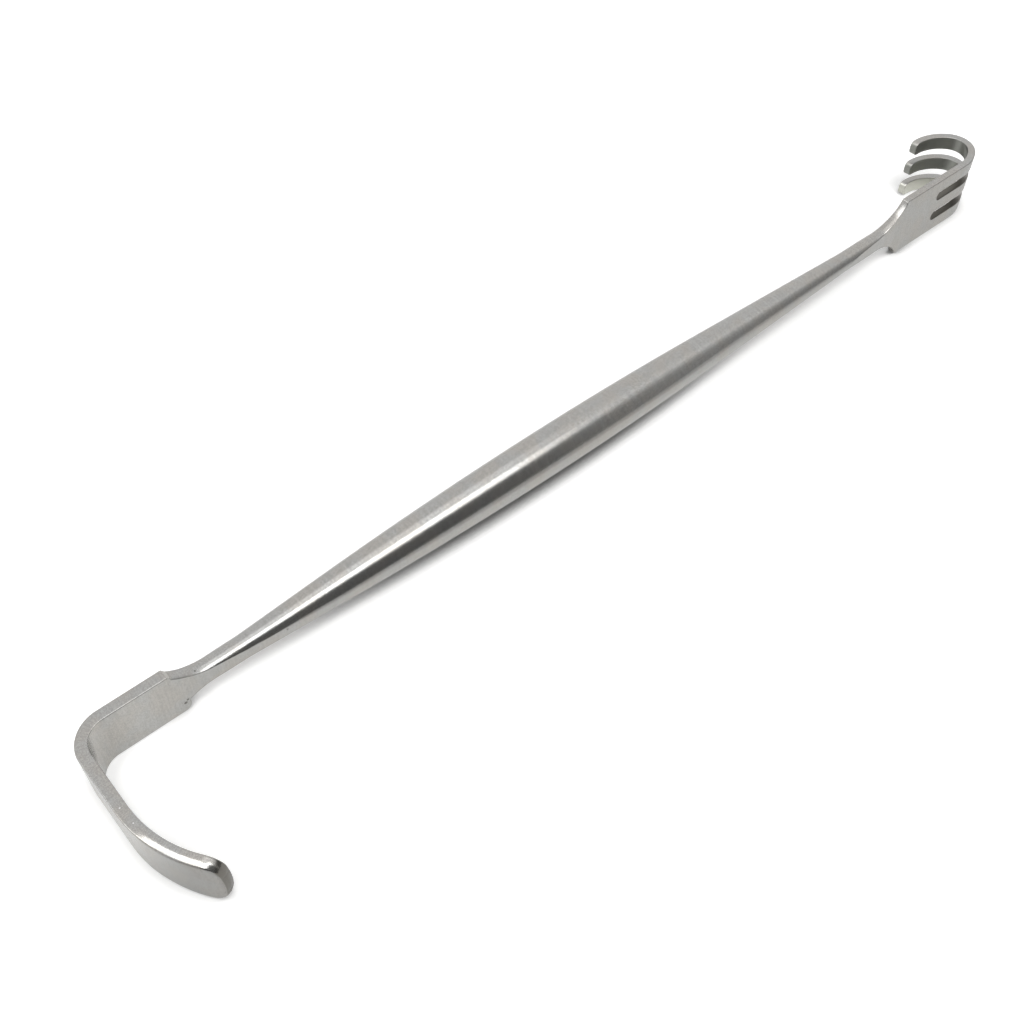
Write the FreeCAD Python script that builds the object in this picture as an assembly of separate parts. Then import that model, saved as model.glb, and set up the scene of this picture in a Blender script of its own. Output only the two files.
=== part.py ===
import FreeCAD, Part
import math
import os

# Double-ended hand-held retractor, one forging of stainless steel, sizes in mm.
# It lies on its side as it rests on a table: X runs along the handle from the
# blade to the rake, the blade hooks towards -Y, the rake towards +Y, and the
# widths of blade and rake stand along Z. The sizes below are taken from the
# outside of the blade's leg, at X = 0, with the handle's axis along Y = Z = 0.

# overall
overall_length = 160.0

# handle: a slender round spindle, thickest a little before its middle
belly_x = 70.2
belly_radius = 3.05

# from the belly's middle to where each straight taper, run on, is as thick as it
blade_taper_apex = 18.4
rake_taper_apex = 13.2

# necks and the flares from them out to the flat ends
blade_neck_radius = 1.45
blade_neck_length = 4.2
rake_neck_radius = 1.38
rake_neck_length = 6.75
flare_radius = 7.2
blade_flare_start_x = 17.4
rake_flare_run = 5.9

# flats ground on the front and back of each neck
facet_slope = 0.068
rake_facet_run = 1.0

# blade: a plate that turns into a leg and ends in a curved lip
blade_width = 7.75
blade_thickness = 1.45
blade_corner_radius = 3.66
leg_straight = 7.44
lip_radius = 17.3
lip_length = 13.1
lip_corner_radius = 2.3
blade_edge_radius = 0.2

# shoulders of the blade plate at its neck
upper_shoulder_x = 12.2
upper_shoulder_drop = 0.9
upper_shoulder_run = 0.6
lower_shoulder_x = 13.9
lower_shoulder_radius = 1.0

# rake: a plate split by two slots into three prongs that hook back
rake_width = 9.75
rake_thickness = 1.12
rake_length = 20.05
prong_count = 3
slot_width = 1.63
slot_length = 11.9
easy_bend_radius = 6.36
easy_bend_angle = 41.0
tight_bend_radius = 3.2
tight_bend_angle = 89.6
hook_radius = 6.69
hook_angle = 57.2
prong_tip_radius = 0.8
rake_edge_radius = 0.12

# room for cutters to pass the metal
clear = 2.0

# where the rake and its flare begin
rake_shoulder_x = overall_length - rake_length
rake_flare_start_x = rake_shoulder_x - rake_flare_run


def point(x, y, z=0.0):
    return FreeCAD.Vector(x, y, z)


def line(a, b):
    return Part.makeLine(a, b)


def loop(corners):
    """Straight edges from corner to corner and back to the first."""
    edges = []
    for here, there in zip(corners, corners[1:] + corners[:1]):
        edges.append(line(here, there))
    return edges


def filled(edges):
    """Flat face inside a closed run of edges."""
    return Part.Face(Part.Wire(Part.__sortEdges__(edges)))


def slab(face, height):
    """Face in the XY plane pulled out evenly above and below it."""
    face.translate(point(0, 0, -height / 2.0))
    return face.extrude(point(0, 0, height))


def left_of(heading):
    """Unit step to the left of a heading in degrees from +X."""
    turn = math.radians(heading)
    return point(-math.sin(turn), math.cos(turn))


def bent_strip(start, heading, stretches, thickness):
    """Edge-on outline of a strip that runs straight and bends to its left.

    Each stretch is (0, length) for a straight run or (radius, degrees) for a
    bend about its middle line. Gives the edges and the middle of the far end.
    """
    half = thickness / 2.0
    place = start
    edges = [line(place + left_of(heading) * half, place - left_of(heading) * half)]
    for radius, amount in stretches:
        side = left_of(heading)
        if radius == 0:
            end = place + side.cross(point(0, 0, 1)) * amount
            edges.append(line(place + side * half, end + side * half))
            edges.append(line(place - side * half, end - side * half))
        else:
            centre = place + side * radius
            for rim in (radius - half, radius + half):
                curve = [centre - left_of(heading + amount * share) * rim for share in (0.0, 0.5, 1.0)]
                edges.append(Part.Arc(*curve).toShape())
            heading += amount
            end = centre - left_of(heading) * radius
        place = end
    edges.append(line(place + left_of(heading) * half, place - left_of(heading) * half))
    return edges, place


def curve_through(x_from, x_to, height_at):
    """Arc through three points of a profile, with its two ends."""
    curve = []
    for x in (x_from, (x_from + x_to) / 2.0, x_to):
        curve.append(point(x, height_at(x)))
    return Part.Arc(*curve).toShape(), curve[0], curve[2]


def flare(neck_radius, start_x, end_x):
    """Concave arc that leaves the neck level and climbs to the shoulder."""
    def height(x):
        rise = flare_radius - math.sqrt(flare_radius ** 2 - (x - start_x) ** 2)
        return neck_radius + rise
    return curve_through(start_x, end_x, height)


def half_spindle(foot, apex):
    """Profile from the thickest point along a long arc and a straight taper.

    The taper ends at its foot on the neck, and its line meets the level line
    through the thickest point at the apex.
    """
    run = foot.x - belly_x
    side = math.copysign(1.0, run)
    slope = math.atan((belly_radius - foot.y) / (abs(run) - apex))
    curve_radius = apex / math.tan(slope / 2.0)
    curve = []
    for angle in (0.0, slope / 2.0, slope):
        drop = curve_radius * (1.0 - math.cos(angle))
        curve.append(point(belly_x + side * curve_radius * math.sin(angle), belly_radius - drop))
    return [Part.Arc(*curve).toShape(), line(curve[2], foot)]


def blade_flare_end_x():
    """Where the blade's flare ends, inside the slanted upper shoulder."""
    return upper_shoulder_x + upper_shoulder_run / 2.0


def spindle():
    """Handle with both necks and flares, turned about the X axis."""
    left_x = blade_flare_end_x()
    right_x = rake_shoulder_x
    left_flare, left_low, left_top = flare(blade_neck_radius, blade_flare_start_x, left_x)
    right_flare, right_low, right_top = flare(rake_neck_radius, rake_flare_start_x, right_x)
    left_foot = left_low + point(blade_neck_length, 0)
    right_foot = right_low - point(rake_neck_length, 0)
    edges = [
        left_flare,
        line(left_low, left_foot),
        line(right_foot, right_low),
        right_flare,
        line(right_top, point(right_x, 0)),
        line(point(right_x, 0), point(left_x, 0)),
        line(point(left_x, 0), left_top),
    ]
    edges += half_spindle(left_foot, blade_taper_apex)
    edges += half_spindle(right_foot, rake_taper_apex)
    return filled(edges).revolve(point(0, 0), point(1, 0), 360.0)


def facet_cutter(shoulder_x, flat_end_x, thickness, side):
    """Space ground away on a neck: level with the plate, then climbing clear of the handle."""
    half = thickness / 2.0
    length = belly_radius / facet_slope
    far_x = flat_end_x + side * length
    behind_x = shoulder_x - side * clear
    top = half + rake_width
    corners = [
        point(behind_x, half),
        point(flat_end_x, half),
        point(far_x, half + belly_radius),
        point(far_x, top),
        point(behind_x, top),
    ]
    return slab(filled(loop(corners)), rake_width + 2.0 * clear)


def ground_spindle():
    """Spindle with the four flats ground on its two necks."""
    body = spindle()
    blade_cut = facet_cutter(blade_flare_end_x(), lower_shoulder_x, blade_thickness, 1)
    rake_cut = facet_cutter(rake_shoulder_x, rake_shoulder_x - rake_facet_run, rake_thickness, -1)
    for cutter in (blade_cut, rake_cut):
        body = body.cut(cutter)
        body = body.cut(cutter.mirror(point(0, 0), point(0, 1)))
    return body


def edges_near(solid, place, reach=0.05):
    """Edges whose middle lies close to a place."""
    found = []
    for edge in solid.Edges:
        middle = edge.valueAt((edge.FirstParameter + edge.LastParameter) / 2.0)
        if middle.distanceToPoint(place) < reach:
            found.append(edge)
    return found


def is_sharp(solid, edge, middle):
    """True where the two faces that meet at an edge turn a corner."""
    normals = []
    for face in solid.ancestorsOfType(edge, Part.Face):
        u, v = face.Surface.parameter(middle)
        normals.append(face.normalAt(u, v))
    return len(normals) == 2 and normals[0].getAngle(normals[1]) > 0.2


def sharp_edges_outside(solid, hidden):
    """Sharp edges that stay in sight once the solid is joined to the hidden one."""
    found = []
    for edge in solid.Edges:
        middle = edge.valueAt((edge.FirstParameter + edge.LastParameter) / 2.0)
        if is_sharp(solid, edge, middle) and not hidden.isInside(middle, 0.001, True):
            found.append(edge)
    return found


def round_corners(solid, tip, heights, radius):
    """Solid with the upright corners of a strip's end rounded in its width."""
    for height in heights:
        corner = tip + point(0, 0, height)
        solid = solid.makeFillet(radius, edges_near(solid, corner))
    return solid


def upper_shoulder_cutter():
    """Space above the neck, behind the small slanted step of the plate."""
    half = blade_width / 2.0
    foot = point(upper_shoulder_x + upper_shoulder_run, 0, half - upper_shoulder_drop)
    end_x = lower_shoulder_x + clear
    corners = [
        point(upper_shoulder_x, 0, half),
        foot,
        point(lower_shoulder_x, 0, blade_neck_radius),
        point(end_x, 0, blade_neck_radius),
        point(end_x, 0, half + clear),
        point(upper_shoulder_x, 0, half + clear),
    ]
    face = filled(loop(corners))
    face.translate(point(0, -blade_thickness, 0))
    return face.extrude(point(0, 2.0 * blade_thickness, 0))


def blade():
    """Plate, corner, leg and lip in one, with shoulders and rounded edges."""
    half = blade_width / 2.0
    plate_length = lower_shoulder_x - blade_corner_radius - blade_thickness / 2.0
    stretches = [
        (0, plate_length),
        (blade_corner_radius, 90.0),
        (0, leg_straight),
        (lip_radius, math.degrees(lip_length / lip_radius)),
    ]
    edges, tip = bent_strip(point(lower_shoulder_x, 0), 180.0, stretches, blade_thickness)
    body = slab(filled(edges), blade_width)
    body = body.cut(upper_shoulder_cutter())
    body = round_corners(body, point(lower_shoulder_x, 0), [-half], lower_shoulder_radius)
    body = round_corners(body, tip, [-half, half], lip_corner_radius)
    leg_y = -blade_corner_radius - leg_straight / 2.0
    rims = edges_near(body, point(0, leg_y, half)) + edges_near(body, point(blade_thickness, leg_y, half))
    return body.makeFillet(blade_edge_radius, rims)


def prong_width():
    return (rake_width - (prong_count - 1) * slot_width) / prong_count


def prong_heights():
    """Heights of the middles of the prongs, lowest first."""
    pitch = prong_width() + slot_width
    lowest = (prong_width() - rake_width) / 2.0
    return [lowest + pitch * number for number in range(prong_count)]


def slot_cutter(height):
    """Slot with a rounded inner end, open at the tips of the prongs."""
    radius = slot_width / 2.0
    depth = overall_length
    start = point(overall_length - slot_length + radius, -depth / 2.0, height)
    round_end = Part.makeCylinder(radius, depth, start, point(0, 1, 0))
    channel = Part.makeBox(slot_length, depth, slot_width, start - point(0, 0, radius))
    return round_end.fuse(channel)


def rake(neck):
    """Plate with its slots, the hooked prongs and their blunt tips."""
    turn = math.sin(math.radians(easy_bend_angle))
    reach = easy_bend_radius * turn + tight_bend_radius * (1.0 - turn) + rake_thickness / 2.0
    stretches = [
        (0, overall_length - reach - rake_shoulder_x),
        (easy_bend_radius, easy_bend_angle),
        (tight_bend_radius, tight_bend_angle),
        (hook_radius, hook_angle),
    ]
    edges, tip = bent_strip(point(rake_shoulder_x, 0), 0.0, stretches, rake_thickness)
    body = slab(filled(edges), rake_width)
    heights = prong_heights()
    for below, above in zip(heights, heights[1:]):
        body = body.cut(slot_cutter((below + above) / 2.0))
    half = prong_width() / 2.0
    for height in heights:
        body = round_corners(body, tip, [height - half, height + half], prong_tip_radius)
    return body.makeFillet(rake_edge_radius, sharp_edges_outside(body, neck))


def rest_angle():
    """Tilt of the handle when the lower edges of blade and rake touch a table."""
    rise = (rake_width - blade_width) / 2.0
    return math.degrees(math.asin(rise / rake_shoulder_x))


def retractor():
    """The whole forging, laid on its side as it rests on a table."""
    neck = ground_spindle()
    body = neck.fuse([blade(), rake(neck)]).removeSplitter()
    body.rotate(point(0, 0), point(0, 1, 0), -rest_angle())
    box = body.optimalBoundingBox(False, False)
    body.translate(point(-box.Center.x, -box.Center.y, -box.ZMin))
    return body.Solids[0]


os.makedirs("parts", exist_ok=True)
retractor().exportStep("parts/retractor.step")
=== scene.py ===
"""Looks of a double-ended hand-held surgical retractor: one forging of satin-ground stainless steel.

The whole instrument is drawn first as a flat pattern, straight along its handle, and then bent:
X runs along the handle's axis from the blade's lip to the prongs' tips, N is the way through the
thickness of the plates, and Z goes across their width. Sizes are millimetres until the last step.
"""

import logging
import math
from collections.abc import Callable
from dataclasses import dataclass, field
from enum import Enum
from functools import partial
from typing import Any

import bpy
import numpy as np
from mathutils import Matrix, Vector


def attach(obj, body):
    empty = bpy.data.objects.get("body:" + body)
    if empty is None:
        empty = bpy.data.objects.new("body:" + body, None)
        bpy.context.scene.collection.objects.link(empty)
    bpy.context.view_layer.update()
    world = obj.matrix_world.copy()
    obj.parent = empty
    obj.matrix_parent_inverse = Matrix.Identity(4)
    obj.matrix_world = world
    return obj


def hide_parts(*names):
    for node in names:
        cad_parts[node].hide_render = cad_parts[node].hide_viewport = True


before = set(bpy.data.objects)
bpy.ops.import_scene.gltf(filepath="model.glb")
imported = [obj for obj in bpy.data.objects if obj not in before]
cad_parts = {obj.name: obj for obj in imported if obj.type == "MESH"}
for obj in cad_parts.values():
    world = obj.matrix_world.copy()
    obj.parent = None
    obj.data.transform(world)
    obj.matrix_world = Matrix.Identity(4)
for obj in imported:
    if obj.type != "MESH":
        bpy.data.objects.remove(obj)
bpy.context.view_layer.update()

MM = 0.001
TINY = 1e-9
NODE = "retractor"
WHITE = (1.0, 1.0, 1.0, 1.0)

# Shader nodes with their settings. SMOOTH takes a value, the places where its span starts and ends,
# which may fall, and the results at both, as a Fade has them in one. COLOURS and NUMBERS take a
# share, and what is mixed by it.
SMOOTH = ("MapRange", {"interpolation_type": "SMOOTHSTEP"})
COLOURS = ("Mix", {"data_type": "RGBA"})
NUMBERS = ("Mix", {"data_type": "FLOAT"})
PLUS = ("Math", {"operation": "ADD"})
MINUS = ("Math", {"operation": "SUBTRACT"})
TIMES = ("Math", {"operation": "MULTIPLY"})
TIMES_PLUS = ("Math", {"operation": "MULTIPLY_ADD"})
SMALLER = ("Math", {"operation": "MINIMUM"})
LARGER = ("Math", {"operation": "MAXIMUM"})
SIZE_OF = ("Math", {"operation": "ABSOLUTE"})
ROOT = ("Math", {"operation": "SQRT"})
LENGTH = ("VectorMath", {"operation": "LENGTH"})
DISTANCE = ("VectorMath", {"operation": "DISTANCE"})
DOT = ("VectorMath", {"operation": "DOT_PRODUCT"})

Array = np.ndarray
Adder = Callable[..., Any]
Kind = str | tuple[str, dict[str, Any]]
Place = tuple[float, float, float]
Span = tuple[float, float]
Fade = tuple[float, float, float, float]

log = logging.getLogger("retractor")


def linear(colour: str) -> tuple[float, float, float, float]:
    """Turn six sRGB hex digits after a hash into linear red, green, blue and alpha."""
    parts = [int(colour[i : i + 2], 16) / 255.0 for i in (1, 3, 5)]
    return (*(p / 12.92 if p <= 0.04045 else ((p + 0.055) / 1.055) ** 2.4 for p in parts), 1.0)


def add_node(tree: bpy.types.NodeTree, kind: Kind, *inputs: Any, gives: str = "", **links: Any) -> Any:
    """Add a shader node, set its settings and sockets, and link what leads into it.

    Args:
        tree: The node tree.
        kind: The node's type name after "ShaderNode", alone or with its settings by name.
        inputs: Values or other nodes' outputs for the sockets in use, in their order.
        gives: Name of the output wanted, where it isn't the first in use.
        links: Values or other nodes' outputs by socket name, with underscores for spaces.

    Returns:
        The output wanted, or nothing where the node has none.
    """
    name, settings = (kind, {}) if isinstance(kind, str) else kind
    node = tree.nodes.new("ShaderNode" + name)
    for name, value in settings.items():
        setattr(node, name, value)
    in_use = [socket for socket in node.inputs if socket.enabled]
    named = [(node.inputs[name.replace("_", " ")], value) for name, value in links.items()]
    for socket, value in [*zip(in_use, inputs), *named]:
        if isinstance(value, bpy.types.NodeSocket):
            tree.links.new(value, socket)
        else:
            socket.default_value = value
    outputs = (socket for socket in node.outputs if socket.enabled)
    return next((socket for socket in outputs if gives in ("", socket.name)), None)


def past(place: float, span: Span) -> Span:
    """Give both ends of a span that is counted from a place."""
    return place + span[0], place + span[1]


def unit(vectors: Array) -> Array:
    """Scale each row to length one."""
    return vectors / np.maximum(np.linalg.norm(vectors, axis=-1, keepdims=True), TINY)


def ease(x: Array, start: float, end: float) -> Array:
    """Rise along 3t^2 - 2t^3, where t runs from 0 to 1 between start and end, level outside."""
    t = np.clip((x - start) / (end - start), 0.0, 1.0)
    return t * t * (3.0 - 2.0 * t)


def spaced(start: float, end: float, step: float) -> Array:
    """Even places from start to end, about a step apart."""
    return np.linspace(start, end, max(2, round((end - start) / step) + 1))


def rows(x: Array, z: Array | float) -> Array:
    """Put X and Z side by side as rows."""
    return np.stack([x, np.broadcast_to(z, x.shape)], axis=1)


def quarter(centre: Span, radius: float, count: int, start: float = 0.0) -> Array:
    """Rows of X and Z on a quarter circle, which turns from +Z to +X, or from -X to +Z."""
    turn = start + np.linspace(0.0, math.pi / 2.0, count)
    return rows(centre[0] + radius * np.sin(turn), centre[1] + radius * np.cos(turn))


def resampled(points: Array, count: int) -> Array:
    """Place points evenly by length along a polyline.

    Args:
        points: Rows of X and Z.
        count: How many points to give back, both ends among them.

    Returns:
        The new rows.
    """
    steps = np.linalg.norm(np.diff(points, axis=0), axis=1)
    along = np.concatenate([[0.0], np.cumsum(steps)])
    wanted = np.linspace(0.0, along[-1], count)
    return rows(*(np.interp(wanted, along, points[:, i]) for i in (0, 1)))


class Side(Enum):
    """Upper or lower side of the lying instrument."""

    UPPER = 1.0
    LOWER = -1.0


@dataclass(frozen=True)
class Bend:
    """One stretch of the bent middle line: radius and angle in degrees."""

    radius: float
    angle: float

    @property
    def length(self) -> float:
        """Length of the stretch along the middle line."""
        return self.radius * math.radians(self.angle)


@dataclass(frozen=True)
class Bending:
    """Bends an end of the flat pattern to its left, with straight runs between the bends."""

    start: float
    direction: float
    stretches: tuple[Bend | float, ...]

    def bend(self, x: Array, n: Array) -> tuple[Array, Array]:
        """Carry flat points to their bent places.

        The middle line is followed for the point's distance beyond the start, stretch by stretch,
        and the point is put off it by its place through the thickness.

        Args:
            x: Flat places along the handle.
            n: Places through the thickness.

        Returns:
            Bent places along X and Y.
        """
        distance = (x - self.start) * self.direction
        offset = n * self.direction
        heading = 0.0 if self.direction > 0 else math.pi
        place = np.array([self.start, 0.0])
        bent = np.stack([x, n], axis=-1)
        for number, stretch in enumerate(self.stretches):
            last = number == len(self.stretches) - 1
            length = stretch.length if isinstance(stretch, Bend) else stretch
            inside = (distance > 0.0) if last else (distance > 0.0) & (distance <= length + TINY)
            left = np.array([-math.sin(heading), math.cos(heading)])
            ahead = np.array([math.cos(heading), math.sin(heading)])
            if isinstance(stretch, Bend):
                centre = place + left * stretch.radius
                turn = heading + distance / stretch.radius
                lean = np.stack([-np.sin(turn), np.cos(turn)], axis=-1)
                moved = centre + lean * (offset - stretch.radius)[..., None]
                heading += math.radians(stretch.angle)
                place = centre - np.array([-math.sin(heading), math.cos(heading)]) * stretch.radius
            else:
                moved = place + ahead * distance[..., None] + left * offset[..., None]
                place = place + ahead * stretch
            bent[inside] = moved[inside]
            distance = distance - length
        return bent[..., 0], bent[..., 1]


@dataclass(frozen=True)
class Rim:
    """Run of a flat outline on one side, with what its wall looks like at each station.

    The fields up to roundness are arrays with one entry for each station. The rest holds for all:
    the slant starts at a share of the half thickness and comes in with a softness, and edge_part
    keeps an edge's radius under the half thickness.
    """

    places: Array
    half_thickness: Array
    edge_radius: Array
    crown: Array
    round_radius: Array
    roundness: Array
    edge_steps: int = 7
    edge_part: float = 0.98
    slant_start: float = 0.1
    slant_softness: float = 0.02
    widest_arc: float = 62.0

    @property
    def normals(self) -> Array:
        """Outward unit normals in the flat pattern, for an outline on the upper side."""
        steps = np.gradient(self.places, axis=0)
        return unit(np.stack([-steps[:, 1], steps[:, 0]], axis=1))

    def wall(self, count: int) -> tuple[Array, Array]:
        """Profile of the wall through the thickness at each station.

        A plate's wall is flat with a quarter circle at each edge. Its outer half may slant away
        along one branch of a hyperbola, by the crown at the face. A round neck's wall is the arc
        of its circle between the two ground flats. Both are mixed by the station's roundness.

        Args:
            count: How many steps the wall has.

        Returns:
            Places through the thickness and insets behind the outline, stations by count + 1.
        """
        middle_steps = count - 2 * self.edge_steps
        alpha = np.linspace(math.pi / 2.0, 0.0, self.edge_steps + 1)
        half = self.half_thickness[:, None]
        edge = np.minimum(self.edge_radius, self.half_thickness * self.edge_part)[:, None]
        upper_n = half - edge + edge * np.sin(alpha)
        upper_q = edge * (1.0 - np.cos(alpha))
        flat = np.linspace(1.0, -1.0, middle_steps + 1)[1:-1]
        flat_n = (half - edge) * flat
        plate_n = np.concatenate([upper_n, flat_n, -upper_n[:, ::-1]], axis=1)
        plate_q = np.concatenate([upper_q, 0.0 * flat_n, upper_q[:, ::-1]], axis=1)
        beyond = plate_n / half - self.slant_start
        slant = (beyond + np.sqrt(beyond**2 + self.slant_softness)) / 2.0
        plate_q = plate_q + self.crown[:, None] * slant
        radius = self.round_radius[:, None]
        limit = np.arcsin(np.minimum(half / radius, math.sin(math.radians(self.widest_arc))))
        phi = limit * np.linspace(1.0, -1.0, count + 1)
        round_n = radius * np.sin(phi)
        round_q = radius * (1.0 - np.cos(phi))
        mix = self.roundness[:, None]
        return plate_n * (1.0 - mix) + round_n * mix, plate_q * (1.0 - mix) + round_q * mix


@dataclass
class Spindle:
    """Round handle: a long belly, straight tapers, thin necks and the flares into the plates.

    Each flare stops at flare_part of its circle's radius, short of where it would stand upright.
    """

    belly_x: float = 70.2
    belly_radius: float = 3.05
    belly_curve_radius: float = 695.0
    blade_taper: float = 0.053
    rake_taper: float = 0.038
    blade_neck_radius: float = 1.45
    rake_neck_radius: float = 1.38
    flare_radius: float = 7.2
    flare_part: float = 0.98
    blade_flare_start_x: float = 17.4
    rake_flare_start_x: float = 134.05
    facet_slope: float = 0.068
    blade_facet_x: float = 13.9
    rake_facet_x: float = 138.95
    flatness: float = 0.06
    flatness_rise: Span = (24.0, 36.0)
    flatness_fade: Span = (86.0, 104.0)

    def radius(self, x: Array) -> Array:
        """Radius of the handle along its length.

        A circle arc about the belly runs into a straight taper on each side, the taper stops at
        the neck's radius, and the flare is the climb of a circle arc beyond its start.

        Args:
            x: Places along the handle.

        Returns:
            The radius at each place.
        """
        out = np.abs(x - self.belly_x)
        taper = np.where(x < self.belly_x, self.blade_taper, self.rake_taper)
        knee = self.belly_curve_radius * taper
        curve = self.belly_curve_radius
        arc = self.belly_radius - (curve - np.sqrt(curve**2 - np.minimum(out, knee) ** 2))
        body = arc - taper * np.maximum(out - knee, 0.0)
        neck = np.where(x < self.belly_x, self.blade_neck_radius, self.rake_neck_radius)
        body = np.maximum(body, neck)
        run = np.maximum(self.blade_flare_start_x - x, x - self.rake_flare_start_x)
        run = np.clip(run, 0.0, self.flare_radius * self.flare_part)
        return body + self.flare_radius - np.sqrt(self.flare_radius**2 - run**2)


@dataclass
class Blade:
    """Blade end: plate, square corner, leg and curved lip with a blunt end.

    The lip's end is arched by lip_arch in its middle, which fades over lip_arch_run. Its side edges
    slant by lip_crown, which comes in over lip_crown_run. Outlines are worked out at outline_step.
    """

    width: float = 7.75
    thickness: float = 1.45
    corner_radius: float = 3.66
    leg: float = 7.44
    lip_radius: float = 17.3
    lip_length: float = 13.1
    lip_corner_radius: float = 2.3
    lip_arch: float = 0.12
    lip_arch_run: float = 3.0
    edge_radius: float = 0.13
    lip_edge_radius: float = 0.2
    lip_crown: float = 0.31
    lip_crown_run: Span = (-11.0, -15.5)
    upper_shoulder_x: float = 12.2
    upper_shoulder_slant: float = 1.5
    lower_shoulder_x: float = 13.9
    lower_shoulder_radius: float = 1.0
    shoulder_zone: Span = (12.0, 14.6)
    outline_step: float = 0.005
    shoulder_arc_points: int = 60

    @property
    def bend_start(self) -> float:
        """Where the plate begins to turn into the leg."""
        return self.thickness / 2.0 + self.corner_radius

    @property
    def lip_start(self) -> float:
        """Flat place where the leg turns into the lip."""
        return self.bend_start - Bend(self.corner_radius, 90.0).length - self.leg

    @property
    def end(self) -> float:
        """Flat place of the lip's end."""
        return self.lip_start - self.lip_length

    def bending(self) -> Bending:
        """How the blade's flat pattern is bent."""
        lip = Bend(self.lip_radius, math.degrees(self.lip_length / self.lip_radius))
        return Bending(self.bend_start, -1.0, (Bend(self.corner_radius, 90.0), self.leg, lip))

    def tip_outline(self, count: int) -> Array:
        """Quarter circle at the lip's corner, from the blunt end out to the side."""
        radius = self.lip_corner_radius
        return quarter((self.end + radius, self.width / 2.0 - radius), radius, count, -math.pi / 2.0)

    def shoulder_outline(self, side: Side, spindle: Spindle) -> Array:
        """Outline through one shoulder of the plate, from its side down to the flare.

        The upper shoulder is a short slant, the lower one a quarter circle and a square step.

        Args:
            side: Which shoulder.
            spindle: The handle, whose flare it meets.

        Returns:
            Closely spaced rows of X and Z.
        """
        half = self.width / 2.0
        x = spaced(*self.shoulder_zone, self.outline_step)
        flare = spindle.radius(x)
        if side is Side.UPPER:
            slant = half - self.upper_shoulder_slant * np.maximum(x - self.upper_shoulder_x, 0.0)
            return rows(x, np.where(x < self.upper_shoulder_x, half, np.maximum(slant, flare)))
        radius = self.lower_shoulder_radius
        centre = (self.lower_shoulder_x - radius, half - radius)
        arc = quarter(centre, radius, self.shoulder_arc_points)
        before = rows(x, half)[x < centre[0]]
        return np.concatenate([before, arc, rows(x, flare)[x > self.lower_shoulder_x]])


@dataclass
class Rake:
    """Rake end: plate, two slots with round ends, and three prongs that hook back.

    The steps, rows and points are counts of grid lines, but prong_step and outline_step are the
    distances between rows along the prongs and along the shoulder's outline.
    """

    width: float = 9.75
    thickness: float = 1.12
    shoulder_x: float = 139.95
    overall_length: float = 160.0
    slot_width: float = 1.63
    slot_start_x: float = 148.1
    bends: tuple[Bend, ...] = (Bend(6.36, 41.0), Bend(3.2, 89.6), Bend(6.69, 57.2))
    tip_radius: float = 0.8
    edge_radius: float = 0.12
    web_start_x: float = 147.4
    web_rows: int = 8
    prong_steps: int = 8
    prong_step: float = 0.3
    tip_steps: int = 9
    slot_steps: int = 6
    shoulder_zone: Span = (139.0, 141.2)
    shoulder_corner: float = 0.3
    shoulder_arc_points: int = 20
    outline_step: float = 0.005

    @property
    def prong_half(self) -> float:
        """Half the width of a prong."""
        return (self.width - 2.0 * self.slot_width) / 6.0

    @property
    def pitch(self) -> float:
        """Distance between the middles of neighbouring prongs."""
        return 2.0 * self.prong_half + self.slot_width

    @property
    def slot_root(self) -> float:
        """Flat place of the centre of the slots' round ends."""
        return self.slot_start_x + self.slot_width / 2.0

    @property
    def bend_start(self) -> float:
        """Work out the plate's straight length from the overall length.

        Returns:
            Where the plate begins to bend.
        """
        turn = math.sin(math.radians(self.bends[0].angle))
        reach = self.bends[0].radius * turn + self.bends[1].radius * (1.0 - turn)
        return self.overall_length - reach - self.thickness / 2.0

    @property
    def end(self) -> float:
        """Flat place of the prongs' tips."""
        return self.bend_start + sum(bend.length for bend in self.bends)

    def bending(self) -> Bending:
        """How the rake's flat pattern is bent."""
        return Bending(self.bend_start, 1.0, self.bends)

    def face_columns(self) -> Array:
        """Space the grid lines across the plate's face, evenly over each prong and slot.

        Returns:
            Their heights, from the lowest.
        """
        inner = self.prong_half - self.edge_radius
        marks = [middle + side for middle in (-self.pitch, 0.0, self.pitch) for side in (-inner, inner)]
        steps = [self.prong_steps, self.slot_steps] * 2 + [self.prong_steps]
        runs = [np.linspace(a, b, s + 1)[:-1] for a, b, s in zip(marks, marks[1:], steps)]
        return np.concatenate([*runs, [marks[-1]]])

    def shoulder_outline(self, spindle: Spindle) -> Array:
        """Outline from the flare over the small square step to the plate's side.

        Args:
            spindle: The handle, whose flare it meets.

        Returns:
            Closely spaced rows of X and Z.
        """
        x = spaced(*self.shoulder_zone, self.outline_step)
        half, corner = self.width / 2.0, self.shoulder_corner
        centre = (self.shoulder_x + corner, half - corner)
        arc = quarter(centre, corner, self.shoulder_arc_points, -math.pi / 2.0)
        before = rows(x, spindle.radius(x))[x < self.shoulder_x]
        return np.concatenate([before, arc, rows(x, half)[x > centre[0]]])


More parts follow.
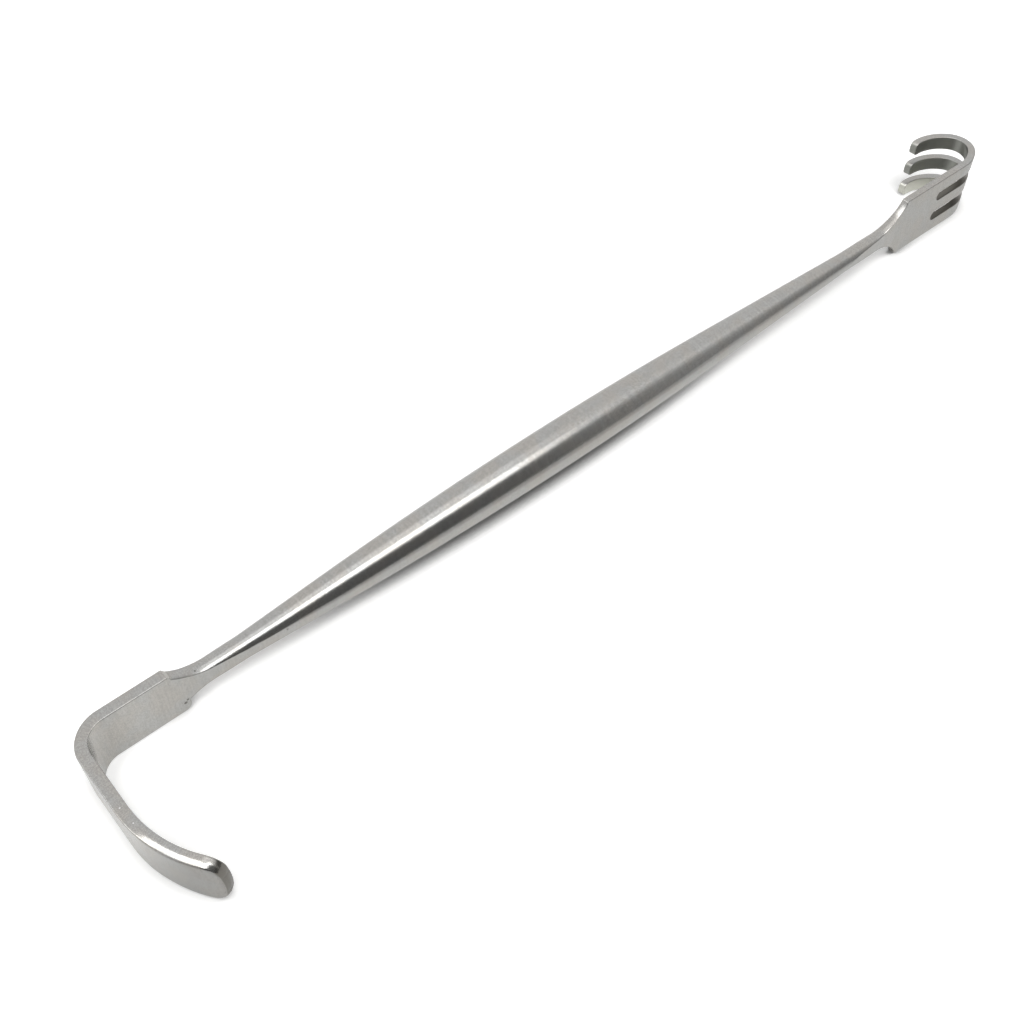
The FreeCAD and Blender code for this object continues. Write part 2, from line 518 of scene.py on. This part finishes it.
@dataclass
class MeshParts:
    """Patches of points that are welded to one closed mesh, where they are closer than a gap."""

    points: list[Array] = field(default_factory=list)
    quads: list[Array] = field(default_factory=list)
    gap: float = 0.0001

    def grid(self, points: Array, loop: bool = False) -> None:
        """Add a grid of quads over rows and columns of points.

        Args:
            points: Rows by columns by X, N and Z.
            loop: Whether the last column joins the first.
        """
        shape = points.shape[:2]
        index = np.arange(math.prod(shape)).reshape(shape) + sum(map(len, self.points))
        if loop:
            index = np.concatenate([index, index[:, :1]], axis=1)
        corners = (index[:-1, :-1], index[:-1, 1:], index[1:, 1:], index[1:, :-1])
        self.quads.append(np.stack([c.ravel() for c in corners], axis=1))
        self.points.append(points.reshape(-1, 3))

    def welded(self) -> tuple[Array, Array]:
        """Merge points that round to the same multiple of the gap, and drop collapsed faces.

        Returns:
            The points, and the corner numbers of the faces.
        """
        points = np.concatenate(self.points)
        keys = np.round(points / self.gap).astype(np.int64)
        _, first, inverse = np.unique(keys, axis=0, return_index=True, return_inverse=True)
        quads = inverse.reshape(-1)[np.concatenate(self.quads)]
        apart = [quads[:, i] != quads[:, (i + 1) % 4] for i in range(4)]
        return points[first], quads[np.sum(apart, axis=0) == 4]


@dataclass
class Forging:
    """The whole retractor, one solid from the lip's end to the prongs' tips.

    The place is where the flat pattern's origin comes to lie, and the handle is the stretch between
    the necks. Steps are distances between rows of points, and points are counts over a stretch. An
    outline that is touching the flare's curve has a round wall.
    """

    blade: Blade = field(default_factory=Blade)
    spindle: Spindle = field(default_factory=Spindle)
    rake: Rake = field(default_factory=Rake)
    place: Place = (-80.0018, 7.2220, 3.8740)
    handle: Span = (20.0, 126.0)
    wall_steps: int = 24
    handle_step: float = 0.5
    lip_step: float = 0.25
    plate_step: float = 0.4
    corner_step: float = 0.22
    blade_neck_step: float = 0.2
    rake_neck_step: float = 0.22
    rake_plate_step: float = 0.45
    tip_points: int = 17
    blade_shoulder_points: int = 60
    rake_shoulder_points: int = 34
    touching: float = 0.01

    @property
    def tilt(self) -> float:
        """Angle at which the handle rises to the rake, with both lower edges on the table."""
        rise = (self.rake.width - self.blade.width) / 2.0
        return math.asin(rise / self.rake.shoulder_x)

    def flat(self, x: Array) -> Array:
        """Work out the ground flats, which run level with the plates and then climb.

        Args:
            x: Places along the handle.

        Returns:
            Their heights over the middle plane.
        """
        out = np.stack([x - self.spindle.blade_facet_x, self.spindle.rake_facet_x - x], axis=-1)
        level = np.array([self.blade.thickness, self.rake.thickness]) / 2.0
        return np.min(level + self.spindle.facet_slope * np.maximum(out, 0.0), axis=-1)

    def side_places(self, side: Side) -> tuple[Array, Array]:
        """Outline of one side from the lip's corner to the start of the slots' web.

        Args:
            side: Upper or lower side.

        Returns:
            Rows of X and Z, and how round the wall is at each: 0 on a plate, 1 on the handle.
        """
        blade, rake, spindle = self.blade, self.rake, self.spindle
        half = blade.width / 2.0

        def run(start: float, end: float, step: float, z: float | None = None) -> Array:
            """Even rows between two places: at one height, or on the handle where z is left out."""
            x = spaced(start, end, step)
            return rows(x, spindle.radius(x) if z is None else z)

        tip = blade.tip_outline(self.tip_points)
        corner_start = blade.bend_start - Bend(blade.corner_radius, 90.0).length
        runs = [
            tip,
            run(tip[-1, 0], blade.lip_start, self.lip_step, half),
            run(blade.lip_start, corner_start, self.plate_step, half),
            run(corner_start, blade.bend_start, self.corner_step, half),
            run(blade.bend_start, blade.shoulder_zone[0], self.plate_step, half),
            resampled(blade.shoulder_outline(side, spindle), self.blade_shoulder_points),
            run(blade.shoulder_zone[1], self.handle[0], self.blade_neck_step),
            run(*self.handle, self.handle_step),
            run(self.handle[1], rake.shoulder_zone[0], self.rake_neck_step),
            resampled(rake.shoulder_outline(spindle), self.rake_shoulder_points),
            run(rake.shoulder_zone[1], rake.web_start_x, self.rake_plate_step, rake.width / 2.0),
        ]
        places = np.concatenate([tip, *(part[1:] for part in runs[1:])])
        x, z = places[:, 0], places[:, 1]
        between = (x > blade.upper_shoulder_x) & (x <= rake.shoulder_x)
        on_flare = (z < spindle.radius(x) + self.touching) & between
        return places, on_flare.astype(float)

    def rim(self, places: Array, roundness: Array) -> Rim:
        """Dress an outline with the thickness, edges and crown of the wall behind it.

        Args:
            places: Rows of X and Z.
            roundness: How round the wall is at each row.

        Returns:
            The outline with its walls.
        """
        blade, rake = self.blade, self.rake
        x = places[:, 0]
        lip = ease(-x, -blade.lip_crown_run[0], -blade.lip_crown_run[1])
        edge = blade.edge_radius + (blade.lip_edge_radius - blade.edge_radius) * lip
        edge = np.where(x > self.spindle.belly_x, rake.edge_radius, edge)
        return Rim(places, self.flat(x), edge, blade.lip_crown * lip, self.spindle.radius(x), roundness)

    def loop_points(self, upper: Rim, lower: Rim, columns: Array, round_face: bool) -> Array:
        """Rows of points round the solid: front face, upper wall, back face, lower wall.

        A face row runs straight between the two rims. Through the thickness it lies on the ground
        flat, or on the handle's circle where that is lower.

        Args:
            upper: The upper outline.
            lower: The lower outline, given as if it were above.
            columns: Shares from 0 at the lower rim to 1 at the upper one.
            round_face: Whether the handle's circle bounds the faces.

        Returns:
            Stations by points round the loop by X, N and Z.
        """
        walls = []
        for rim, sign in ((upper, 1.0), (lower, -1.0)):
            n, q = rim.wall(self.wall_steps)
            x = rim.places[:, :1] - rim.normals[:, :1] * q
            z = (rim.places[:, 1:] - rim.normals[:, 1:] * q) * sign
            walls.append(np.stack([x, n, z], axis=-1))
        up, low = walls
        share = columns[None, :]
        x, n, z = (low[:, :1, i] * (1.0 - share) + up[:, :1, i] * share for i in range(3))
        if round_face:
            radius = self.spindle.radius(x)
            circle = np.sqrt(np.maximum(radius**2 - z**2, 0.0))
            on_handle = (upper.roundness * lower.roundness)[:, None]
            n = n * (1.0 - on_handle) + np.minimum(self.flat(x), circle) * on_handle
            n[:, 0], n[:, -1] = low[:, 0, 1], up[:, 0, 1]
        face = np.stack([x, n, z], axis=-1)
        back = face * np.array([1.0, -1.0, 1.0])
        return np.concatenate([face, up[:, 1:-1], back[:, ::-1], low[:, 1:-1][:, ::-1]], axis=1)

    def hand_ground(self, body: Array) -> Array:
        """Take the handle a little out of round, as the grinding by hand left it.

        Over the upper front the radius shrinks by the flatness times sin^2 of twice the height
        angle up to 45 degrees, and grows back over the top along cos^2. It fades at both ends.

        Args:
            body: Rows of points round the solid by X, N and Z.

        Returns:
            The same rows, moved towards the axis where the handle is flatter.
        """
        spindle = self.spindle
        x = body[..., 0]
        angle = np.arctan2(body[..., 2], -body[..., 1])
        eighth = math.pi / 4.0
        rise = np.sin(2.0 * np.clip(angle, 0.0, eighth)) ** 2
        fall = np.cos(np.clip(angle - eighth, 0.0, 2.0 * eighth)) ** 2
        amount = np.where(angle < eighth, rise, fall) * spindle.flatness
        amount = amount * ease(x, *spindle.flatness_rise) * (1.0 - ease(x, *spindle.flatness_fade))
        scale = np.stack([np.ones_like(amount), 1.0 - amount, 1.0 - amount], axis=-1)
        return body * scale

    def end_cap(self, loop: Array, count: int) -> Array:
        """Blunt end of a strip: its face's row of points is carried over the profile of its wall."""
        up = loop[count - 1 : count + self.wall_steps]
        return loop[:count, None] + (up - up[:1]) * np.array([1.0, 1.0, 0.0])

    def build(self) -> tuple[Array, Array]:
        """Work out the whole solid as a flat pattern.

        The lip's end is arched by 1 - t^2, where t runs from -1 to 1 across its face.

        Returns:
            Points in the flat pattern, and faces.
        """
        rake, blade, steps = self.rake, self.blade, self.wall_steps
        parts = MeshParts()
        columns = rake.face_columns()
        shares = (columns - columns[0]) / (columns[-1] - columns[0])
        count = len(shares)
        upper = self.rim(*self.side_places(Side.UPPER))
        lower = self.rim(*self.side_places(Side.LOWER))
        body = self.hand_ground(self.loop_points(upper, lower, shares, True))
        arch = -blade.lip_arch * (1.0 - np.linspace(-1.0, 1.0, count) ** 2)
        fade = 1.0 - ease(body[:, :1, 0], blade.end, blade.end + blade.lip_arch_run)
        body[:, :count, 0] += fade * arch
        body[:, count + steps - 1 : 2 * count + steps - 1, 0] += fade * arch[::-1]
        parts.grid(body, loop=True)
        parts.grid(self.end_cap(body[0], count)[::-1])
        self.add_web(parts, columns)
        for number in (-1, 0, 1):
            self.add_prong(parts, number)
        return parts.welded()

    def add_web(self, parts: MeshParts, columns: Array) -> None:
        """Add the plate between its last whole row and the round ends of the slots.

        In a slot's columns the rows run to a circle arc round the slot's centre, and elsewhere to
        the straight line through that centre. The slots' round walls follow the same arc.

        Args:
            parts: The patches so far.
            columns: Heights of the grid lines across the face.
        """
        rake = self.rake
        half = rake.thickness / 2.0
        radius = rake.slot_width / 2.0
        # The strip's wall has one profile everywhere, so any outline serves to read it.
        n, q = (profile[0] for profile in self.strip_rim(np.eye(2)).wall(self.wall_steps))
        target = np.full(len(columns), rake.slot_root)
        height = columns.copy()
        turn = np.linspace(-math.pi / 2.0, math.pi / 2.0, rake.slot_steps + 1)
        for number in (0, 1):
            first = rake.prong_steps + number * (rake.prong_steps + rake.slot_steps)
            middle = (number - 0.5) * rake.pitch
            cut = slice(first, first + rake.slot_steps + 1)
            target[cut] = rake.slot_root - (radius + rake.edge_radius) * np.cos(turn)
            height[cut] = middle + (radius + rake.edge_radius) * np.sin(turn)
            reach = radius + q[None, :]
            x = rake.slot_root - reach * np.cos(turn)[:, None]
            z = middle + reach * np.sin(turn)[:, None]
            parts.grid(np.stack([x, np.broadcast_to(n, x.shape), z], axis=-1)[::-1])
        share = np.linspace(0.0, 1.0, rake.web_rows)[:, None]
        x = rake.web_start_x + (target - rake.web_start_x) * share
        z = columns + (height - columns) * share
        face = np.stack([x, np.full_like(x, half), z], axis=-1)
        parts.grid(face)
        parts.grid((face * np.array([1.0, -1.0, 1.0]))[:, ::-1])
        x = rake.web_start_x + (rake.slot_root - rake.web_start_x) * share + 0.0 * n
        z = (rake.width / 2.0 - q) + 0.0 * share
        wall = np.stack([x, n + 0.0 * share, z], axis=-1)
        parts.grid(wall)
        parts.grid((wall * np.array([1.0, 1.0, -1.0]))[:, ::-1])

    def strip_rim(self, places: Array) -> Rim:
        """Dress an outline with the even wall of the rake's strip, which is nowhere round."""
        size, edge, none = np.outer([self.rake.thickness, self.rake.edge_radius, 0.0], np.ones(len(places)))
        return Rim(places, size / 2.0, edge, none, size, none)

    def add_prong(self, parts: MeshParts, number: int) -> None:
        """Add one prong as a loop of points carried from the slots' roots to its blunt tip.

        Args:
            parts: The patches so far.
            number: -1, 0 or 1 from the lowest prong to the highest.
        """
        rake = self.rake
        corner = rake.end - rake.tip_radius
        side = rows(spaced(rake.slot_root, corner, rake.prong_step), rake.prong_half)
        centre = (corner, rake.prong_half - rake.tip_radius)
        tip = quarter(centre, rake.tip_radius, rake.tip_steps + 1)
        rim = self.strip_rim(np.concatenate([side, tip[1:]]))
        shares = np.linspace(0.0, 1.0, rake.prong_steps + 1)
        loop = self.loop_points(rim, rim, shares, False)
        loop[..., 2] += number * rake.pitch
        parts.grid(loop, loop=True)
        parts.grid(self.end_cap(loop[-1], len(shares)))

    def laid(self, flat: Array) -> Array:
        """Bend the flat pattern at both ends, tilt it as it rests, and put it in its place.

        Args:
            flat: Rows of X, N and Z in millimetres.

        Returns:
            Rows of the finished places in metres.
        """
        x, y = flat[:, 0].copy(), flat[:, 1].copy()
        for bending in (self.blade.bending(), self.rake.bending()):
            bent_x, bent_y = bending.bend(flat[:, 0], flat[:, 1])
            beyond = (flat[:, 0] - bending.start) * bending.direction > 0.0
            x[beyond], y[beyond] = bent_x[beyond], bent_y[beyond]
        z = flat[:, 2]
        cos, sin = math.cos(self.tilt), math.sin(self.tilt)
        placed = np.stack([x * cos - z * sin, y, x * sin + z * cos], axis=1)
        return (placed + np.array(self.place)) * MM

    def make(self, finish: "SatinSteel") -> bpy.types.Object:
        """Build the mesh, store its flat pattern for the grain, and dress it.

        Args:
            finish: The steel's finish.

        Returns:
            The finished object.
        """
        flat, quads = self.build()
        points = self.laid(flat)
        a, b, c, d = (points[quads[:, i]] for i in range(4))
        volume = np.sum(np.cross(b - a, c - a) * a + np.cross(c - a, d - a) * a) / 6.0
        if volume < 0.0:
            quads = quads[:, ::-1]
        log.info("forging of %.1f mm3 with %d faces", abs(volume) / MM**3, len(quads))
        mesh = bpy.data.meshes.new("forging")
        mesh.from_pydata(points.tolist(), [], quads.tolist())
        mesh.polygons.foreach_set("use_smooth", np.ones(len(quads), dtype=bool))
        pattern = mesh.attributes.new("flat_pattern", "FLOAT_VECTOR", "POINT")
        pattern.data.foreach_set("vector", flat.astype(np.float32).ravel())
        mesh.materials.append(finish.material(self.blade, self.rake))
        mesh.update()
        piece = bpy.data.objects.new("forging", mesh)
        bpy.context.scene.collection.objects.link(piece)
        flats = piece.modifiers.new("flats stay flat", "WEIGHTED_NORMAL")
        flats.mode = "FACE_AREA"
        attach(piece, "root")
        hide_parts(NODE)
        return piece


@dataclass(frozen=True)
class Mark:
    """Small pit or bright fleck at a place on the flat pattern, full over a core of its radius."""

    place: Place
    radius: float
    core: float = 0.4


@dataclass(frozen=True)
class SatinSteel:
    """Stainless steel, forged, ground and belt polished to a satin.

    The satin gives the eye broad highlights with soft edges, and even, pale grey faces with a fine
    speckle. The strokes of the belt go round the handle and across the plates. Painted shade darkens
    the slots' walls, which are also rougher, the hollow side of the prongs, more so deeper in the
    hook, the prongs' tips and the lip's end, and the lowest prong's hollow side has a lighter
    painted reflection of the table.

    All lengths are millimetres on the flat pattern. Real strokes and grain are about 0.02 mm wide,
    where a pixel of the render covers about 0.15 mm. They are too fine to show, so both are drawn
    as coarse as they need to show. Of two spans, the first is a skin's, counted from its wall or
    face, and the second runs along the handle, as single ones do, counted from a bend or an end.
    """

    cool: str = "#B3B3B1"
    warm: str = "#B5B2AD"
    shade: str = "#94928F"
    # Painted shade: the slots' walls, the prongs' hollow side, darker deeper in the hook, the prongs' tips
    # and the lip's end. The lowest prong's hollow side gets a lighter painted reflection of the table.
    slot_shade: str = "#726F69"
    hollow: str = "#8E8F8A"
    deep_hollow_shade: str = "#6C6D69"
    lowest_prong_reflection: str = "#C3C3BA"
    lip_end_shade: str = "#8A8781"
    pit: str = "#4A4640"
    fleck: str = "#E4E4E4"
    smooth: float = 0.16
    uneven: float = 0.1
    hook_blur: float = 0.14
    stroke_width: float = 0.2
    stroke_length: float = 3.0
    stroke_share: float = 0.35
    stroke_height: float = 0.7
    grain: float = 0.16
    grain_share: float = 0.65
    grain_height: float = 0.9
    blotch: float = 3.5
    detail: float = 3.0
    clouds: Span = (0.38, 0.62)
    speckle: Fade = (0.36, 0.64, 0.0, 0.5)
    slots: tuple[Span, Span] = ((0.1, 0.03), (5.0, 0.5))
    shaded_insides: tuple[Span, Span] = ((-0.05, -0.01), (1.5, 4.0))
    cut: tuple[Span, Span] = ((-0.02, -0.08), (1.0, 0.7))
    tips: Span = (-0.4, -0.15)
    deep: Span = (6.0, 3.5)
    hook: Span = (-1.0, 2.0)
    low_prong: Span = (-2.7, -1.0)
    pit_share: float = 0.8
    pit_height: float = -0.8
    relief: float = 0.22
    relief_depth: float = 0.04
    pits: tuple[Mark, ...] = (
        Mark((15.47, -0.4, 1.66), 0.14),
        Mark((26.85, -1.61, 0.4), 0.18),
        Mark((13.55, -0.73, -2.0), 0.22),
        Mark((13.2, -0.73, -2.35), 0.3),
    )
    flecks: tuple[Mark, ...] = (Mark((-8.75, 0.03, 3.87), 0.12), Mark((-11.11, -0.04, 3.87), 0.11))

    def marked(self, add: Adder, pattern: Any, marks: tuple[Mark, ...]) -> Any:
        """Blend all marks of one kind.

        Args:
            add: Adds a node to the material.
            pattern: Output with the place on the flat pattern.
            marks: The marks.

        Returns:
            An output that is 1 in the marks' middles and 0 outside them.
        """
        total: Any = 0.0
        for mark in marks:
            away = add(DISTANCE, pattern, mark.place)
            spot = add(SMOOTH, away, mark.radius, mark.radius * mark.core)
            total = add(LARGER, total, spot)
        return total

    def shaded_places(self, add: Adder, place: Any, blade: Blade, rake: Rake) -> tuple[Any, ...]:
        """Find the places where shade is painted into the colour; the slots' walls are also rougher.

        A slot's walls go by their distance from its middle line and the centre of its round end.

        Args:
            add: Adds a node to the material.
            place: Outputs with the three parts of the place on the flat pattern.
            blade: The blade end.
            rake: The rake end.

        Returns:
            Outputs that are 1 on the slots' walls, inside the hooks and on the prongs' tips, and on the
            lip's end.
        """
        along, through, across = place
        from_middle = add(MINUS, add(SIZE_OF, across), rake.pitch / 2.0)
        before_root = add(SMALLER, add(MINUS, along, rake.slot_root), 0.0)
        square = add(TIMES, before_root, before_root)
        square = add(TIMES_PLUS, from_middle, from_middle, square)
        places = (
            (add(ROOT, square), rake.slot_width / 2.0, rake.bend_start, self.slots),
            (through, rake.thickness / 2.0, rake.bend_start, self.shaded_insides),
            (add(SIZE_OF, through), blade.thickness / 2.0, blade.end, self.cut),
        )
        found = []
        for depth, face, start, (skin, run) in places:
            near = add(SMOOTH, depth, *past(face, skin))
            within = add(SMOOTH, along, *past(start, run))
            found.append(add(TIMES, near, within))
        slots, shaded_insides, cut = found
        tips = add(SMOOTH, along, *past(rake.end, self.tips))
        return slots, add(LARGER, shaded_insides, tips), cut

    def material(self, blade: Blade, rake: Rake) -> bpy.types.Material:
        """Make the material.

        Args:
            blade: The blade end.
            rake: The rake end.

        Returns:
            The finished material.
        """
        material = bpy.data.materials.new("satin_ground_stainless_steel")
        material.use_nodes = True
        tree = material.node_tree
        tree.nodes.clear()
        add = partial(add_node, tree)
        pattern = add(("Attribute", {"attribute_name": "flat_pattern"}), gives="Vector")
        place = add("SeparateXYZ", pattern).node.outputs
        along, _, across = place
        scale = (1.0 / self.stroke_width, 1.0 / self.stroke_length, 1.0 / self.stroke_length)
        strokes = add("Mapping", pattern, Scale=scale)
        stroke = add("TexNoise", strokes, 1.0, self.detail)
        grain = add("TexNoise", pattern, 1.0 / self.grain)
        cloud = add("TexNoise", pattern, 1.0 / self.blotch, self.detail)
        slots, shaded_insides, cut = self.shaded_places(add, place, blade, rake)
        pitted = self.marked(add, pattern, self.pits)

        # The polished faces are cloudy between two greys. Each coat then covers its own share. The speckle
        # and the marks are the steel's own; the coats on the slots, the prongs' hollow side and tips, and
        # the lip's end are painted shade, and the lowest prong's lighter hollow side is a painted
        # reflection of the table.
        clouds = add(SMOOTH, cloud, *self.clouds)
        colour = add(COLOURS, clouds, linear(self.cool), linear(self.warm))
        part = add(TIMES, grain, self.grain_share)
        speckle = add(TIMES_PLUS, stroke, self.stroke_share, part)
        # Painted shade on the prongs' hollow side, darker deeper in the hook, with a lighter painted
        # reflection of the table on the lowest prong.
        deep = add(SMOOTH, along, *past(rake.bend_start, self.deep))
        hollow = add(COLOURS, deep, linear(self.hollow), linear(self.deep_hollow_shade))
        upper = add(SMOOTH, across, *self.low_prong)
        hollow = add(COLOURS, upper, linear(self.lowest_prong_reflection), hollow)
        coats = (
            (add(SMOOTH, speckle, *self.speckle), linear(self.shade)),
            # Painted shade on the slots' walls.
            (slots, linear(self.slot_shade)),
            # Painted shade on the prongs' hollow side and tips.
            (shaded_insides, hollow),
            # Painted shade on the lip's end.
            (cut, linear(self.lip_end_shade)),
            (add(TIMES, pitted, self.pit_share), linear(self.pit)),
            (self.marked(add, pattern, self.flecks), linear(self.fleck)),
        )
        for share, coat in coats:
            colour = add(COLOURS, share, colour, coat)

        part = add(TIMES, grain, self.grain_height)
        height = add(TIMES_PLUS, stroke, self.stroke_height, part)
        height = add(TIMES_PLUS, pitted, self.pit_height, height)
        depth = self.relief_depth * MM
        bump = add("Bump", Strength=self.relief, Distance=depth, Height=height)
        hook = add(SMOOTH, along, *past(rake.bend_start, self.hook))
        blur = add(TIMES_PLUS, add(LARGER, hook, slots), self.hook_blur, self.smooth)
        rough = add(TIMES_PLUS, cloud, self.uneven, blur)
        links = {"Base_Color": colour, "Roughness": rough, "Normal": bump}
        add("OutputMaterial", Surface=add("BsdfPrincipled", Metallic=1.0, **links))
        return material


@dataclass(frozen=True)
class WhiteTable:
    """Matt white table top, bright enough to vanish into the white background outside the shadow.

    Being matt, it gives the eye no mirror image, only a soft shadow with a darker line of contact.
    Lengths are metres. The table's own light grows with the distance from its middle, the line of
    contact is eased near both ends, the steel mirrors a dimmer front, and both hooks throw a little
    light back inside them.
    """

    colour: str = "#FAFAF9"
    contact_shade: str = "#686868"
    own_light: Fade = (0.08, 0.4, 0.25, 1.0)
    contact: float = 0.003
    contact_samples: int = 8
    open_sky: Span = (0.36, 0.76)
    blade_ease: Fade = (-0.055, -0.072, 0.0, 0.8)
    rake_ease: Fade = (0.055, 0.068, 0.0, 0.7)
    front: Fade = (-0.014, -0.003, 0.64, 1.0)
    thrown: float = 0.1
    inside_blade: tuple[Span, Span] = ((-0.062, -0.074), (-0.008, -0.001))
    inside_rake: tuple[Span, Span] = ((0.06, 0.07), (0.006, 0.012))
    size: float = 1.6

    def make(self) -> bpy.types.Object:
        """Returns:
            The table top.
        """
        half = self.size / 2.0
        corners = [(-half, -half, 0.0), (half, -half, 0.0), (half, half, 0.0), (-half, half, 0.0)]
        mesh = bpy.data.meshes.new("table")
        mesh.from_pydata(corners, [], [(0, 1, 2, 3)])
        mesh.materials.append(self.material())
        table = bpy.data.objects.new("table", mesh)
        bpy.context.scene.collection.objects.link(table)
        return table

    def material(self) -> bpy.types.Material:
        """Make the material.

        Returns:
            The finished material.
        """
        material = bpy.data.materials.new("matt_white_table")
        material.use_nodes = True
        tree = material.node_tree
        tree.nodes.clear()
        add = partial(add_node, tree)
        seen = add("LightPath", gives="Is Camera Ray")
        place = add("TexCoord", gives="Object")
        x, y, _ = add("SeparateXYZ", place).node.outputs
        level = add(SMOOTH, add(LENGTH, place), *self.own_light)
        occlusion = ("AmbientOcclusion", {"samples": self.contact_samples})
        sky = add(occlusion, gives="AO", Distance=self.contact)
        sky = add(SMOOTH, sky, *self.open_sky)
        blade_end = add(SMOOTH, x, *self.blade_ease)
        rake_end = add(SMOOTH, x, *self.rake_ease)
        contact = add(LARGER, sky, add(PLUS, blade_end, rake_end))
        mirrored = add(SMOOTH, y, *self.front)
        lit = add(NUMBERS, seen, mirrored, contact)
        glow = add(TIMES, add(TIMES, seen, level), lit)
        for span_x, span_y in (self.inside_blade, self.inside_rake):
            within_x = add(SMOOTH, x, *span_x)
            within_y = add(SMOOTH, y, *span_y)
            within = add(TIMES, within_x, within_y)
            glow = add(TIMES_PLUS, within, self.thrown, glow)
        colour = add(COLOURS, lit, linear(self.contact_shade), linear(self.colour))
        matt = add("BsdfDiffuse", Color=colour)
        light = add("Emission", Color=WHITE, Strength=glow)
        add("OutputMaterial", Surface=add("AddShader", matt, light))
        return material


@dataclass(frozen=True)
class SoftBox:
    """Rectangular lamp with a diffuser, hung along the handle and turned to it.

    Place and size are metres. A lamp that isn't mirrored lights the table alone.
    """

    name: str
    place: Place
    size: Span
    radiance: float
    mirrored: bool = True

    def make(self) -> bpy.types.Object:
        """Hang the lamp up and turn it to the instrument.

        Returns:
            The lamp.
        """
        data = bpy.data.lights.new(self.name, "AREA")
        data.shape = "RECTANGLE"
        data.size, data.size_y = self.size
        data.energy = self.radiance * math.pi * self.size[0] * self.size[1]
        lamp = bpy.data.objects.new(self.name, data)
        away = Vector((0.0, self.place[1], self.place[2])).normalized()
        side = Vector((1.0, 0.0, 0.0))
        across = away.cross(side)
        turn = Matrix((side, across, away)).transposed()
        lamp.matrix_world = Matrix.Translation(self.place) @ turn.to_4x4()
        lamp.visible_glossy = self.mirrored
        bpy.context.scene.collection.objects.link(lamp)
        return lamp


@dataclass(frozen=True)
class Room:
    """Light from round the table: pale behind it, dim on the camera's side, half pale past the rake.

    The steel mirrors this room, the camera sees white, and the table gets an even light. Spans are
    parts of a direction, towards the front or along the handle. The side is the part past the rake,
    and the dusk takes light away at its far end.
    """

    front: Place = (0.0, -1.0, -0.35)
    shade: Fade = (-0.35, 0.5, 0.93, 0.14)
    side_light: Fade = (0.3, 0.8, 0.38, 0.25)
    side_along: Span = (0.4, 0.56)
    side_facing: Span = (-0.35, 0.0)
    dusk_along: Span = (0.7, 0.85)
    dusk_facing: Span = (-0.5, -0.1)
    dusk: float = -0.75
    on_table: float = 0.12

    def make(self) -> bpy.types.World:
        """Set up the world: white to the camera, even for the table, and shaded for the steel.

        Returns:
            The world.
        """
        world = bpy.data.worlds.new("studio")
        bpy.context.scene.world = world
        world.use_nodes = True
        tree = world.node_tree
        tree.nodes.clear()
        add = partial(add_node, tree)
        way = add("TexCoord", gives="Generated")
        facing = add(DOT, way, self.front)
        along = add("SeparateXYZ", way)
        shade = add(SMOOTH, facing, *self.shade)
        side_light = add(SMOOTH, facing, *self.side_light)
        side_along = add(SMOOTH, along, *self.side_along)
        side_facing = add(SMOOTH, facing, *self.side_facing)
        side = add(TIMES, side_along, side_facing)
        room = add(TIMES_PLUS, side, side_light, shade)
        dusk_along = add(SMOOTH, along, *self.dusk_along)
        dusk_facing = add(SMOOTH, facing, *self.dusk_facing)
        dusk = add(TIMES, dusk_along, dusk_facing)
        kept = add(TIMES_PLUS, dusk, self.dusk, 1.0)
        room = add(TIMES, room, kept)
        rays = add("LightPath").node.outputs
        level = add(NUMBERS, rays["Is Diffuse Ray"], room, self.on_table)
        strength = add(NUMBERS, rays["Is Camera Ray"], level, 1.0)
        light = add("Background", Color=WHITE, Strength=strength)
        add("OutputWorld", Surface=light)
        return world


@dataclass(frozen=True)
class PhotographCamera:
    """Camera where the photograph was taken from, found by fitting the instrument's edges.

    Angles are degrees, lens and sensor are millimetres, and the other lengths are metres.
    """

    place: Place = (-0.0869165, -0.0733049, 0.1253201)
    azimuth: float = -40.69589
    elevation: float = 50.47177
    roll: float = 0.49047
    lens: float = 44.1196
    sensor: float = 36.0
    nearest: float = 0.001
    farthest: float = 20.0

    def make(self) -> bpy.types.Object:
        """Set up the camera at its place, looking down its own axis.

        Returns:
            The camera, which is made the scene's own.
        """
        data = bpy.data.cameras.new("photograph")
        data.sensor_width = self.sensor
        data.lens = self.lens
        data.clip_start = self.nearest
        data.clip_end = self.farthest
        azimuth, elevation, roll = (math.radians(a) for a in (self.azimuth, self.elevation, self.roll))
        level = Vector((math.cos(azimuth), math.sin(azimuth), 0.0))
        out = Vector((math.sin(azimuth), -math.cos(azimuth), 0.0))
        back = out * math.cos(elevation) + Vector((0.0, 0.0, math.sin(elevation)))
        up = back.cross(level)
        right = level * math.cos(roll) + up * math.sin(roll)
        up = back.cross(right)
        camera = bpy.data.objects.new("photograph", data)
        turn = Matrix((right, up, back)).transposed()
        camera.matrix_world = Matrix.Translation(self.place) @ turn.to_4x4()
        bpy.context.scene.collection.objects.link(camera)
        bpy.context.scene.camera = camera
        return camera


# The key draws the bright line along the handle, the ceiling and the window fill its upper side, and
# the fill evens out the table's light.
LAMPS = (
    SoftBox("key", place=(-0.13, -0.215, 0.5), size=(0.74, 0.23), radiance=3.0),
    SoftBox("ceiling", place=(-0.13, 0.05, 0.5), size=(0.7, 0.2), radiance=0.55),
    SoftBox("window", place=(-0.36, 0.1, 0.5), size=(0.34, 0.42), radiance=1.9),
    SoftBox("fill", place=(0.0, -0.17, 0.55), size=(0.3, 0.2), radiance=5.0, mirrored=False),
)


def main() -> None:
    """Build the retractor, the table, the light and the camera."""
    logging.basicConfig(level=logging.INFO, format="%(name)s: %(message)s")
    bpy.context.scene.view_settings.view_transform = "Standard"
    Forging().make(SatinSteel())
    for item in (WhiteTable(), *LAMPS, Room(), PhotographCamera()):
        log.info("made the %s", item.make().name)


if __name__ == "__main__":
    main()
